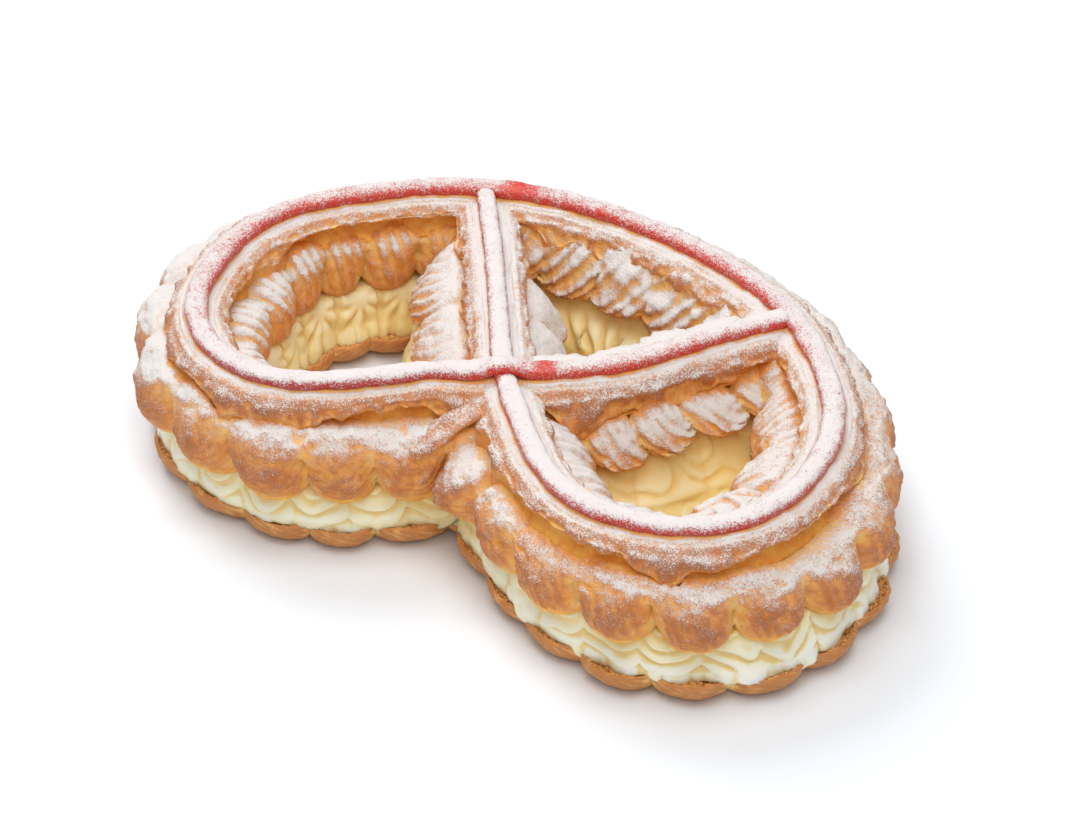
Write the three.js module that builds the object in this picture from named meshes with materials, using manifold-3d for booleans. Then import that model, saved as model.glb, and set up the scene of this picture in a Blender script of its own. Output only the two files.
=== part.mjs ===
// A cream-filled choux kringle: a pretzel of shell-piped pastry, split level, filled with piped cream,
// with a raised strand and a red icing line following the pretzel on top. Millimetres, +Z up.
// The origin is on the table, under the centre of the pretzel. +X runs from the left loop to the right
// loop, and +Y from the knot to the long arch.
import * as THREE from "three";
import { mergeVertices } from "three/addons/utils/BufferGeometryUtils.js";
import Module from "manifold-3d";

// Heights above the table.
const BASE_RIM = 13; // cut edge of the lower half
const CREAM_TOP = 33; // where the upper half lies on the cream
const SHOULDER = 61; // top of the shells, where the raised strand stands on them
const STRAND_TOP = 72.5;
const ICING_TOP = 77;
const GAP = 0.3; // kept between layers that lie on each other

// How much further than the upper half the layers below it spread, on each side.
const BASE_SPREAD = 1.8;
const CREAM_SPREAD = 2;

// Piping.
const SHELL_PITCH = 27; // from one piped shell to the next, along the line
const STATIONS_PER_SHELL = 3; // cross-sections in each shell
const NOTCH_DEPTH = 0.2; // how far the edge draws in between two shells, as a share of the reach
const NOTCH_DROP = 3.5; // how far the top sinks between two shells
const STRAND_HALF = 11.5; // half the width of the raised strand
const ICING_HALF = 4; // half the width of the icing line

// The piped line, from one strand end on the arch, over the knot, round the right loop, the arch and the
// left loop, and over the knot again to the other strand end. Each point has its x and y, and how far the
// shells reach to the left and to the right of the line, as one travels along it. The loops run
// anticlockwise, so left is their inner side.
const LINE = [
  [-71, 66, 18, 24],
  [-46, 33, 21, 37],
  [-24, 2, 22, 38],
  [4, -37, 26, 26],
  [28, -62, 30, 22],
  [46, -78, 32, 19],
  [65, -89, 35, 17],
  [88, -92, 38, 17],
  [112, -86, 39, 20],
  [131, -71, 40, 23],
  [141, -47, 40, 26],
  [141, -20, 38, 26],
  [134, 4, 34, 25],
  [116, 30, 28, 24],
  [88, 55, 22, 25],
  [58, 70, 22, 26],
  [22, 78, 23, 27],
  [0, 80, 23, 27],
  [-24, 80, 22, 27],
  [-56, 74, 20, 26],
  [-84, 62, 17, 25],
  [-109, 42, 17, 25],
  [-131, 17, 20, 27],
  [-140, -5, 24, 27],
  [-140, -32, 28, 26],
  [-131, -62, 29, 22],
  [-112, -83, 29, 18],
  [-88, -91, 29, 16],
  [-66, -89, 29, 18],
  [-45, -77, 28, 20],
  [-18, -53, 27, 21],
  [4, -38, 25, 22],
  [33, -16, 22, 21],
  [49, 3, 22, 21],
  [60, 22, 21, 20],
  [84, 57, 17, 20],
];
const ARCH_CROWN = 17; // the point of LINE where the sweep is split, so that neither half meets itself

const wasm = await Module();
wasm.setup();

// The line as a smooth curve, and each side's reach as a curve over the same points.
const line = new THREE.CatmullRomCurve3(LINE.map(([x, y]) => new THREE.Vector3(x, y, 0)));
const reaches = new THREE.CatmullRomCurve3(LINE.map(([, , left, right]) => new THREE.Vector3(left, right, 0)));

// Cross-sections of a run of the line. Each has its place, its leftward normal, its reaches, and swell:
// 0 in the notch between two shells and 1 over the middle of a shell.
function stationsBetween(firstPoint, lastPoint) {
  const spans = LINE.length - 1;
  const steps = 400;
  const samples = Array.from({ length: steps + 1 }, (_, i) =>
    THREE.MathUtils.lerp(firstPoint / spans, lastPoint / spans, i / steps),
  );
  const travelled = [0];
  for (let i = 1; i <= steps; i++) {
    travelled.push(travelled[i - 1] + line.getPoint(samples[i]).distanceTo(line.getPoint(samples[i - 1])));
  }
  const length = travelled[steps];
  const shells = Math.round(length / SHELL_PITCH);
  const count = shells * STATIONS_PER_SHELL;
  const stations = [];
  for (let k = 0; k <= count; k++) {
    const wanted = (length * k) / count;
    const after = Math.max(1, travelled.findIndex((d) => d >= wanted - 1e-6));
    const share = (wanted - travelled[after - 1]) / (travelled[after] - travelled[after - 1]);
    const t = THREE.MathUtils.lerp(samples[after - 1], samples[after], share);
    const tangent = line.getTangent(t);
    const reach = reaches.getPoint(t);
    stations.push({
      place: line.getPoint(t),
      normal: new THREE.Vector3(-tangent.y, tangent.x, 0),
      left: reach.x,
      right: reach.y,
      swell: Math.sqrt(Math.abs(Math.sin((Math.PI * k) / STATIONS_PER_SHELL))),
    });
  }
  return stations;
}

// A closed solid through one cross-section for each station. sectionAt gives its corners as
// [distance to the left of the line, height], anticlockwise as seen from the end of the line.
function sweep(stations, sectionAt) {
  const sections = stations.map(sectionAt);
  const rings = stations.map(({ place, normal }, r) =>
    sections[r].map(([aside, height]) => place.clone().addScaledVector(normal, aside).setZ(height)),
  );
  const triangles = [];
  const sides = sections[0].length;
  for (let r = 0; r + 1 < rings.length; r++) {
    for (let s = 0; s < sides; s++) {
      const next = (s + 1) % sides;
      const [a, b, c, d] = [rings[r][s], rings[r][next], rings[r + 1][next], rings[r + 1][s]];
      triangles.push(a, b, c, a, c, d);
    }
  }
  const last = rings.length - 1;
  for (const [i, j, k] of capFaces(sections[0])) triangles.push(rings[0][k], rings[0][j], rings[0][i]);
  for (const [i, j, k] of capFaces(sections[last])) triangles.push(rings[last][i], rings[last][j], rings[last][k]);
  return new THREE.BufferGeometry().setFromPoints(triangles);
}

function capFaces(section) {
  return THREE.ShapeUtils.triangulateShape(section.map(([x, y]) => new THREE.Vector2(x, y)), []);
}

function solidOf(geometry) {
  const merged = mergeVertices(geometry, 1e-4);
  return new wasm.Manifold(
    new wasm.Mesh({
      numProp: 3,
      vertProperties: merged.attributes.position.array,
      triVerts: new Uint32Array(merged.index.array),
    }),
  );
}

function geometryOf(solid) {
  const { vertProperties, triVerts } = solid.getMesh();
  return new THREE.BufferGeometry()
    .setAttribute("position", new THREE.BufferAttribute(vertProperties, 3))
    .setIndex(new THREE.BufferAttribute(triVerts, 1));
}

// One layer of the kringle: the same section swept along both halves of the line, and joined.
const halves = [stationsBetween(0, ARCH_CROWN), stationsBetween(ARCH_CROWN, LINE.length - 1)];
function layer(sectionAt) {
  const [first, second] = halves.map((stations) => solidOf(sweep(stations, sectionAt)));
  return geometryOf(first.add(second));
}

// Both sides of a section, from shares of the reach and heights that are listed bottom to top.
function bothSides(station, profile, spread = 0) {
  const reachOn = (reach) => (reach + spread) * (1 - NOTCH_DEPTH * (1 - station.swell));
  const left = profile.map(([share, height]) => [share * reachOn(station.left), height]);
  const right = profile.map(([share, height]) => [-share * reachOn(station.right), height]);
  return [...left, ...right.reverse()];
}

// Lower half: a flat foot, round sides and a level cut.
function baseSection(station) {
  const profile = [
    [0.7, 0],
    [0.9, 3],
    [1, 8.5],
    [0.97, BASE_RIM],
  ];
  return bothSides(station, profile, BASE_SPREAD);
}

// Cream: it bulges near the rim and draws in under the upper half.
function creamSection(station) {
  const profile = [
    [0.92, BASE_RIM + GAP],
    [1, BASE_RIM + 4],
    [0.95, BASE_RIM + 12],
    [0.86, CREAM_TOP],
  ];
  return bothSides(station, profile, CREAM_SPREAD);
}

// Upper half: shells that hang over the cream, and the raised strand along the line.
function crownSection(station) {
  const sunk = NOTCH_DROP * (1 - station.swell);
  const shells = bothSides(station, [
    [0.84, CREAM_TOP + GAP],
    [1, CREAM_TOP + 7],
    [0.97, CREAM_TOP + 17 - sunk],
    [0.78, SHOULDER - 3 - sunk],
  ]);
  const half = shells.length / 2;
  const strand = [
    [STRAND_HALF, SHOULDER - 1],
    [STRAND_HALF - 1.5, STRAND_TOP - 4],
    [ICING_HALF + 0.5, STRAND_TOP],
  ];
  const rightStrand = strand.map(([aside, height]) => [-aside, height]).reverse();
  return [...shells.slice(0, half), ...strand, ...rightStrand, ...shells.slice(half)];
}

// Icing: a flattened rope that rests on the crest of the strand.
function icingSection() {
  const bottom = STRAND_TOP + GAP;
  const middle = (bottom + ICING_TOP) / 2;
  const left = [
    [0.7 * ICING_HALF, bottom],
    [ICING_HALF, middle],
    [0.6 * ICING_HALF, ICING_TOP],
  ];
  return [...left, ...left.map(([aside, height]) => [-aside, height]).reverse()];
}

function piece(name, geometry, color, roughness) {
  const mesh = new THREE.Mesh(geometry, new THREE.MeshStandardMaterial({ color, roughness, metalness: 0 }));
  mesh.name = name;
  return mesh;
}

const kringle = new THREE.Group();
kringle.add(
  piece("lower_choux", layer(baseSection), 0xb9783c, 0.7),
  piece("cream_filling", layer(creamSection), 0xf6eed2, 0.45),
  piece("upper_choux", layer(crownSection), 0xc98c4e, 0.75),
  piece("icing_line", layer(icingSection), 0xb03030, 0.5),
);

export default kringle;
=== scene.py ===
"""A cream-filled choux kringle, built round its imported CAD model.

Piped pastry is a line that is followed by a nozzle, so every piece here is a grid whose rows are laid as
rings along that line, or along a line of its own as the torn strip is. Shells, ribs, torn crust and petals
of cream are shaped in those rings, and lumps are displaced. Lengths are in millimetres until a mesh gets
its points.
"""
import math

import bpy
import numpy as np
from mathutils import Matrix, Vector


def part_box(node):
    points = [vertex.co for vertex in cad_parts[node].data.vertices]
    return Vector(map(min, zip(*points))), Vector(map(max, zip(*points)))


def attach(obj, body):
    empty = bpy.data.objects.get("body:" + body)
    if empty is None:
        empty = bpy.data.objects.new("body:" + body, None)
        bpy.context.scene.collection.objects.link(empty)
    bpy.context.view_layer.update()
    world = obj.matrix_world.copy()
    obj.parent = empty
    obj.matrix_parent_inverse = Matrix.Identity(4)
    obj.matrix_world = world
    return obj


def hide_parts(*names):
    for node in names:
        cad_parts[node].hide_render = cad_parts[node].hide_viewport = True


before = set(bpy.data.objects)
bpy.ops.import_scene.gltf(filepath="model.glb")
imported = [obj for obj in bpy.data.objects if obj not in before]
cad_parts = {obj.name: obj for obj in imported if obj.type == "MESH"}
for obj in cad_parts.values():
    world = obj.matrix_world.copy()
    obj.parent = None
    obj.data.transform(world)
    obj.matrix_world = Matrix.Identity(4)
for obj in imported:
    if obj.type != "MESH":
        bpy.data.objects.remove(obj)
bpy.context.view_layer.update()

bpy.ops.object.select_all(action="DESELECT")

MM = 0.001
SEED = 11

# Heights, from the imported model.
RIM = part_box("lower_choux")[1].z / MM
CREAM_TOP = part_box("cream_filling")[1].z / MM
STRAND_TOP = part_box("upper_choux")[1].z / MM
ICING_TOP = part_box("icing_line")[1].z / MM
CUT = CREAM_TOP - 2.5  # the lower edge of the upper half's shells
CREST = 61.5  # their tops
FOOT = 55.0  # of the raised strand, hidden between them

# The piped line, as in the model: x, y, and the reach of the shells to its left and to its right.
LINE = np.array([
    (-71, 66, 18, 24), (-46, 33, 21, 37), (-24, 2, 22, 38), (4, -37, 26, 26),
    (28, -62, 30, 22), (46, -78, 32, 19), (65, -89, 35, 17), (88, -92, 38, 17),
    (112, -86, 39, 20), (131, -71, 40, 23), (141, -47, 40, 26), (141, -20, 38, 26),
    (134, 4, 34, 25), (116, 30, 28, 24), (88, 55, 22, 25), (58, 70, 22, 26),
    (22, 78, 23, 27), (0, 80, 23, 27), (-24, 80, 22, 27), (-56, 74, 20, 26),
    (-84, 62, 17, 25), (-109, 42, 17, 25), (-131, 17, 20, 27), (-140, -5, 24, 27),
    (-140, -32, 28, 26), (-131, -62, 29, 22), (-112, -83, 29, 18), (-88, -91, 29, 16),
    (-66, -89, 29, 18), (-45, -77, 28, 20), (-18, -53, 27, 21), (4, -38, 25, 22),
    (33, -16, 22, 21), (49, 3, 22, 21), (60, 22, 21, 20), (84, 57, 17, 20),
], float)
FIRST_PASS, SECOND_PASS = 3, 31  # the points where the line crosses the knot
B_MEETS, A_MEETS = 14, 19.5  # the points of the loop where the two strands end on it

STEP = 0.9  # between two rings of a piece
OVERLAP = 5  # how far a piece that ends at the knot runs past it
ROUNDING = 7  # how far along the line a corner of its edges is evened out


# ---------------------------------------------------------------- the piped line

def catmull_rom(points, t):
    """Centripetal Catmull-Rom through the points, for t from 0 to 1."""
    points = np.vstack([2 * points[0] - points[1], points, 2 * points[-1] - points[-2]])
    spans = len(points) - 3
    place = np.clip(t, 0, 1) * spans
    i = np.minimum(place.astype(int), spans - 1)
    w = (place - i)[:, None]
    p0, p1, p2, p3 = (points[i + k] for k in range(4))
    d0, d1, d2 = (
        np.sqrt(np.linalg.norm(b - a, axis=1)).clip(0.001)[:, None]
        for a, b in ((p0, p1), (p1, p2), (p2, p3)))
    m1 = ((p1 - p0) / d0 - (p2 - p0) / (d0 + d1) + (p2 - p1) / d1) * d1
    m2 = ((p2 - p1) / d1 - (p3 - p1) / (d1 + d2) + (p3 - p2) / d2) * d1
    return ((2 * p1 - 2 * p2 + m1 + m2) * w + (3 * p2 - 3 * p1 - 2 * m1 - m2)) * w * w + m1 * w + p1


def arc_length(points):
    return np.concatenate([[0], np.cumsum(np.linalg.norm(np.diff(points, axis=0), axis=1))])


def blurred(values, width):
    """Values along the line, blurred over that many rings."""
    reach = int(3 * width)
    kernel = np.exp(-0.5 * (np.arange(-reach, reach + 1) / width) ** 2)
    padded = np.pad(values, ((reach, reach), (0, 0)), mode="reflect", reflect_type="odd")
    return np.stack([np.convolve(column, kernel / kernel.sum(), "valid") for column in padded.T], axis=1)


FINE = np.linspace(0, 1, 6000)
TRAVELLED = arc_length(catmull_rom(LINE[:, :2], FINE))
LENGTH = TRAVELLED[-1]


def distance_to(point):
    """How far along the line one of its points lies."""
    return float(np.interp(point / (len(LINE) - 1), FINE, TRAVELLED))


KNOT = distance_to(FIRST_PASS), distance_to(SECOND_PASS)


class Stretch:
    """A stretch of the piped line, cut into rings: its places, its edges, and arc lengths from the knot."""

    def __init__(self, start, end, knot):
        count = int(round((end - start) / STEP)) + 1
        self.along = np.linspace(start, end, count)
        t = np.interp(self.along, TRAVELLED, FINE)
        self.place = catmull_rom(LINE[:, :2], t)
        self.left, self.right = catmull_rom(LINE[:, 2:], t).T
        tangent = np.gradient(self.place, axis=0)
        tangent /= np.linalg.norm(tangent, axis=1)[:, None]
        aside = np.stack([-tangent[:, 1], tangent[:, 0]], axis=1)
        width = ROUNDING / STEP
        left_edge = blurred(self.place + aside * self.left[:, None], width)
        right_edge = blurred(self.place - aside * self.right[:, None], width)
        self.to_left = (left_edge - self.place) / self.left[:, None]
        self.to_right = (right_edge - self.place) / self.right[:, None]
        nearest = np.argmin(abs(self.along - knot))
        self.left_arc = arc_length(left_edge) - arc_length(left_edge)[nearest]
        self.right_arc = arc_length(right_edge) - arc_length(right_edge)[nearest]
        self.start, self.end = start, end

    def rounded_ends(self, length):
        """1 along the stretch, and falling to almost 0 in a round at both ends."""
        inward = np.minimum(self.along - self.start, self.end - self.along) / length
        return np.sqrt(np.clip(1 - (1 - np.clip(inward, 0, 1)) ** 2, 0.004, 1))

    def points(self, aside, height):
        """Where rings of (distance aside, height) lie. A positive distance is to the left."""
        sideways = np.where(aside[..., None] > 0, self.to_left[:, None], self.to_right[:, None])
        flat = self.place[:, None] + sideways * abs(aside)[..., None]
        return np.concatenate([flat, height[..., None]], axis=2)


LOOP = Stretch(KNOT[0] - OVERLAP, KNOT[1] + OVERLAP, KNOT[0])
STRAND_A = Stretch(0, KNOT[0] + OVERLAP, KNOT[0])
STRAND_B = Stretch(KNOT[1] - OVERLAP, LENGTH, KNOT[1])
WHOLE = Stretch(0, LENGTH, KNOT[0])


# ---------------------------------------------------------------- shaping

rng = np.random.default_rng(SEED)
HASH = rng.uniform(-1, 1, 4099)  # the values that the corners of the noise's cells pick from
STRIDES = 73, 179, 283  # how far a step along x, y and z moves through them
UNEVEN = 0.08  # how far a shell strays from its place, as a share of the pitch


def soft(low, high, x):
    t = np.clip((x - low) / (high - low), 0, 1)
    return t * t * (3 - 2 * t)


def hump(position, middle, width):
    return np.exp(-((position - middle) / width) ** 2)


def power(values, exponent):
    return np.sign(values) * abs(values) ** exponent


def wander(position, length):
    """A smooth wander between -1 and 1 along a position, that turns about once in that length."""
    place = (position - position.min()) / length
    values = rng.uniform(-1, 1, int(place.max()) + 2)
    i = place.astype(int)
    t = soft(0, 1, place - i)
    return values[i] * (1 - t) + values[i + 1] * t


def noise(points, size):
    """Smooth noise between -1 and 1, with lumps of about that size."""
    place = points / size
    cell = np.floor(place).astype(int)
    t = soft(0, 1, place - cell)
    total = 0
    for corner in np.ndindex(2, 2, 2):
        weight = np.prod(np.where(corner, t, 1 - t), axis=-1)
        total = total + weight * HASH[(cell + corner) @ STRIDES % len(HASH)]
    return total


def notches(known, low, high, pitch):
    """Notches between shells from low to high, midway between their middles.

    The middles that aren't known are about a pitch apart.
    """
    middles = []
    stops = [low - pitch, *known, high + pitch]
    for a, b in zip(stops, stops[1:]):
        count = max(1, round((b - a) / pitch))
        wobble = np.concatenate([[0], rng.uniform(-UNEVEN, UNEVEN, count - 1)]) * pitch
        middles.extend(np.linspace(a, b, count, endpoint=False) + wobble)
    middles = np.array([*middles, stops[-1]])
    return (middles[1:] + middles[:-1]) / 2


def shells_at(position, edges):
    """The number of the shell at each position, how far across it (-1 to 1), its swell and its width."""
    number = np.clip(np.searchsorted(edges, position) - 1, 0, len(edges) - 2)
    width = edges[number + 1] - edges[number]
    across = np.clip(2 * (position - edges[number]) / width - 1, -1, 1)
    return number, across, np.sqrt(1 - across ** 2), width


def looked_up(table, place):
    """The values of a table of (place, value), read at each place."""
    return np.interp(place, *np.transpose(table))


def both_sides(left, right):
    """Rings from two sides: up the left, over the top and down the right."""
    aside = np.concatenate([left[0], -right[0][:, ::-1]], axis=1)
    rest = [np.concatenate([a, b[:, ::-1]], axis=1) for a, b in zip(left[1:], right[1:])]
    return [aside, *rest]


def active(piece):
    bpy.ops.object.select_all(action="DESELECT")
    piece.select_set(True)
    bpy.context.view_layer.objects.active = piece


def select_edges(mesh, chosen):
    bpy.ops.object.mode_set(mode="EDIT")
    bpy.ops.mesh.select_mode(type="EDGE")
    bpy.ops.mesh.select_all(action="DESELECT")
    bpy.ops.object.mode_set(mode="OBJECT")
    mesh.edges.foreach_set("select", chosen)
    bpy.ops.object.mode_set(mode="EDIT")


def read(items, name, width=3, kind=float):
    """A value of each item of a mesh, as rows of that width."""
    values = np.empty(width * len(items), kind)
    items.foreach_get(name, values)
    return values.reshape(-1, width)


def volume_of(mesh):
    """The volume that a mesh encloses, which is negative where its faces look inwards."""
    faces = mesh.polygons
    outward = (read(faces, "center") * read(faces, "normal")).sum(axis=1)
    return (outward * read(faces, "area", 1)[:, 0]).sum() / 3


def laid_tube(name, rings):
    """A grid whose rows are laid as rings along the line, bridged into a tube and capped at both ends."""
    count, sides = rings.shape[:2]
    bpy.ops.mesh.primitive_grid_add(x_subdivisions=sides - 1, y_subdivisions=count - 1)
    piece = bpy.context.object
    piece.name = piece.data.name = name
    piece["sides"] = sides
    mesh = piece.data
    mesh.vertices.foreach_set("co", (rings * MM).ravel())
    column = read(mesh.edges, "vertices", 2, int) % sides
    select_edges(mesh, (column == 0).all(axis=1) | (column == sides - 1).all(axis=1))
    bpy.ops.mesh.bridge_edge_loops()
    bpy.ops.mesh.select_all(action="DESELECT")
    bpy.ops.mesh.select_non_manifold()
    bpy.ops.mesh.fill_holes(sides=0)
    bpy.ops.mesh.select_all(action="SELECT")
    bpy.ops.mesh.normals_make_consistent(inside=False)
    bpy.ops.object.mode_set(mode="OBJECT")
    if volume_of(mesh) < 0:
        bpy.ops.object.mode_set(mode="EDIT")
        bpy.ops.mesh.flip_normals()
        bpy.ops.object.mode_set(mode="OBJECT")
    bpy.ops.object.shade_smooth()
    return piece


def points_of(piece):
    return read(piece.data.vertices, "co") / MM


def normals_of(piece):
    return read(piece.data.vertex_normals, "vector")


def move_to(piece, points):
    piece.data.vertices.foreach_set("co", (points * MM).ravel())
    piece.data.update()


def push(piece, outward):
    """Moves each point along its normal, by millimetres."""
    move_to(piece, points_of(piece) + normals_of(piece) * outward.reshape(-1, 1))


def roughen(piece, size, depth):
    """Lumps of about that size and depth, by a displacement that is applied."""
    texture = bpy.data.textures.new(f"{piece.name}_clouds", type="CLOUDS")
    texture.noise_scale = size * MM
    texture.noise_depth = 2
    active(piece)
    modifier = piece.modifiers.new("roughen", "DISPLACE")
    modifier.texture = texture
    modifier.texture_coords = "LOCAL"
    modifier.mid_level = 0.5
    modifier.strength = depth * MM
    bpy.ops.object.modifier_apply(modifier=modifier.name)


def mark(piece, name, values):
    """Keeps a number for each point of a piece, for its material to read."""
    attribute = piece.data.attributes.new(name, "FLOAT", "POINT")
    attribute.data.foreach_set("value", np.ascontiguousarray(values, float).ravel())


def from_sides(name, run, side, left, right, middle, end, size, depth):
    """A piece from what side() gives for each of its sides, and the marks that come with them.

    Its ends are rounded towards that middle height, and it gets its ribs and lumps of that size and depth.
    """
    left = side(run.left, run.left_arc, **left)
    right = side(run.right, run.right_arc, **right)
    aside, height, ribs, *marks = both_sides(left, right)
    small = run.rounded_ends(end)[:, None]
    piece = laid_tube(name, run.points(aside * small, middle + (height - middle) * small))
    push(piece, ribs)
    roughen(piece, size, depth)
    return piece, *marks


# ---------------------------------------------------------------- upper half: the shells

# Angles up one side of the shells' section, close together where it shows.
SIDE_ANGLES = np.radians([
    *np.linspace(-86, -52, 4, endpoint=False),
    *np.linspace(-52, 76, 42),
    *np.linspace(86, 76, 4, endpoint=False)[::-1],
])[None, :]


def crown_side(reach, arc, edges, ribs_of, dent=5.0, hang=0.0, sheet=0.0, lean=0.0, spread=0.0,
               crusty=0.3, cleft=0.5, toe=0.0, cover=1.0, lift=0.0, notch_top=1.3, streaks=0.0):
    """One side of the shells: how far aside, how high, its ribs, how crusty it is and how sugared.

    A dent is how deep the notches between the shells go, and a cleft how far they cut into the tops. Shells
    hang below the cut, and where they are a sheet they slope down straight instead of bulging.
    """
    angle = SIDE_ANGLES
    bulging = 0.85 + 0.75 * sheet
    rise = power(np.sin(angle), bulging)
    number, across, swell, width = shells_at(arc[:, None] + lean * np.sin(angle), edges)
    fuller, taller, twist = (rng.uniform(-1, 1, len(edges))[number] for _ in range(3))
    reach = reach[:, None] + spread
    stands = (0.46 - 0.08 * sheet) * reach
    notch = dent * (1 - swell)
    aside = stands + (reach - stands + 2.0 * fuller * swell) * np.cos(angle) ** bulging
    aside -= notch * (0.12 + 0.88 * soft(notch_top, notch_top - 1.1, angle)) * np.cos(angle) ** 0.4
    aside += toe * swell * hump(angle, -0.3, 0.6)
    top = CREST + lift + 1.7 * taller * swell - cleft * notch + 1.5 * sheet
    low = CUT - hang + 1.05 * notch + 1.6 * sheet * wander(arc, 7)[:, None]
    widest = low + (0.5 - 0.3 * sheet) * (top - low)
    height = widest + np.where(rise > 0, top - widest, widest - low) * rise
    ribs = ribs_of(angle, across, swell, width, twist)
    # Inside, the section runs on to the middle, under the raised strand and over the cream.
    inside = np.array([0.08, 0.6])[None, :]
    under = np.concatenate([stands * inside, aside, stands * inside[:, ::-1]], axis=1)
    level = [height[:, :1] + 1.5 - inside, height, height[:, -1:] - 2.5 + 2 * inside[:, ::-1]]
    ribs = np.pad(ribs, ((0, 0), (2, 2)))
    rough = np.pad(crusty * soft(-0.75, 0.1, angle) + np.zeros_like(height), ((0, 0), (2, 2)))
    return under, np.concatenate(level, axis=1), ribs, rough, cover * (1 + streaks * ribs).clip(0.1)


def ringed(angle, across, swell, width, twist):
    """Rings round the top of an outer shell, that show on its lower half."""
    turn = np.hypot(across * width / 2, (angle - 0.55 + 0.15 * twist) * 19) / 3.1
    return 1.1 * (abs(np.sin(math.pi * turn)) ** 0.6 - 0.7) * soft(0.75, -0.1, angle) * swell ** 0.5


def fanned(pitch, depth, slant=0.0):
    """Ribs of a star nozzle, that fan out as they run down a shell."""
    def ribs(angle, across, swell, width, twist):
        count = np.round(width / pitch)
        fan = across * count / 2 + (slant + 0.25 * twist) * np.sin(angle) + count / 2
        groove = 1 - abs(np.sin(math.pi * fan)) ** 0.6
        return -depth * (groove - 0.25) * soft(-1.0, -0.25, angle) * (0.5 + 0.5 * swell)
    return ribs


def flaked(pitch, depth, slant, top=1.3):
    """Flakes side by side that overlap downwards, with a sharp lower edge, up to that angle."""
    def ribs(angle, across, swell, width, twist):
        fan = across * np.round(width / pitch) / 2 + (slant + 0.3 * twist) * np.sin(angle)
        turn = -(fan + 0.2 * np.sin(5 * angle + 4 * across + 9 * twist)) % 1.0
        flake = (turn ** 1.3 * soft(1.0, 0.85, turn) - 0.3) * (0.75 + 0.35 * twist)
        return depth * flake * soft(-1.0, -0.25, angle) * soft(top, top - 0.5, angle)
    return ribs


def blended(first, second, amount):
    """Ribs that turn into others along the line."""
    def ribs(*given):
        return first(*given) * (1 - amount) + second(*given) * amount
    return ribs


def shells(name, run, left, right):
    piece, crusty, cover = from_sides(
        name, run, crown_side, left, right, middle=(CREAM_TOP + CREST) / 2, end=9, size=15, depth=2.4)
    points = points_of(piece)
    crusty = crusty.ravel()
    crust = 0.2 + 0.8 * crusty
    lumps = 1.0 * noise(points, 6) + 0.6 * noise(points, 2.8) + 0.45 * noise(points, 1.6)
    cracks = soft(0.1, 0.0, abs(noise(points, 11))) * soft(0.0, 0.6, noise(points + 50, 20))
    pits = np.zeros(len(points))
    for *place, size in CRUST_HOLES:
        pits = np.maximum(pits, np.exp(-(np.linalg.norm(points - place, axis=1) / size) ** 4))
    push(piece, crust * lumps - 1.3 * crusty * cracks - 4.5 * pits)
    low = soft(CUT + 4, CUT + 1.5, points[:, 2])
    mark(piece, "inside", np.maximum(low, np.maximum(0.8 * crusty * cracks, pits)))
    mark(piece, "cover", cover)
    # Painted shade: the crusty shells are marked darker from 58 mm down to 44 mm, on their lower halves that
    # face down, away from the light.
    mark(piece, "toast_and_shade", crust * soft(58, 44, points[:, 2]))
    return piece


# Where the outer crust has broken through to its hollow inside: x, y, z and size.
CRUST_HOLES = (
    (42, -100, 45, 3.0), (127, -100, 49, 3.2), (24, -68, 60, 4.5), (35, -80, 61, 3.0),
    (-93, -100, 62, 3.5), (-78, -101, 62, 3.0), (120, -97, 58, 3.0), (-122, -82, 60, 2.6),
    (-136, -60, 58, 2.2), (52, -98, 60, 2.4),
)

# How much further than the line's reach the outer shells and the lower half spread, along the outer edge.
OUTER_SPREAD = (
    (0, 5.5), (80, 5.5), (131, 5), (200, 4.5), (262, 6), (320, 4.5), (-300, 5), (-242, 7), (-200, 6.5),
    (-130, 6), (-1, 5.5),
)
BASE_SPREAD = (
    (0, 1.5), (96, 1.5), (140, 4), (302, 4.5), (-242, 5), (-200, 4), (-150, 1.5), (-1, 1),
)
# How much sugar stays on the inner shells, along the line.
INNER_COVER = (
    (127, 1.5), (230, 1.4), (270, 0.95), (335, 0.9), (405, 1.1), (435, 2.8), (510, 2.7), (560, 2.0),
    (600, 2.4), (650, 2.2), (685, 1.9), (710, 1.6), (760, 1.4), (810, 1.5), (920, 1.3),
)


def spread_along(arc, spread):
    """A spread at each place of the outer edge, where negative keys count back from its end."""
    end = arc[-1] - OVERLAP
    return looked_up([(key + end if key < 0 else key, value) for key, value in spread], arc)[:, None]


def spaced(first, pitch, count):
    """The middles of that many shells, a pitch apart, in millimetres along an edge."""
    return tuple(first + pitch * number for number in range(count))


# The shells of the loop's edges, forward from the knot on the right and back from it on the left, where
# two narrow ones lie beside the knot.
OUTER_FORWARD = spaced(-1, 33, 10)
OUTER_BACK = spaced(241, -36, 5) + spaced(68, -29, 2)
INNER_FORWARD = spaced(121, 30, 3)
INNER_BACK = spaced(199, -18, 4)
# The shells of the first strand, where the flap at its end is a wide one.
BY_STRAND = spaced(-102, 45, 3)
FLAPS = (-106, *spaced(-68, 27, 3))


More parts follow.
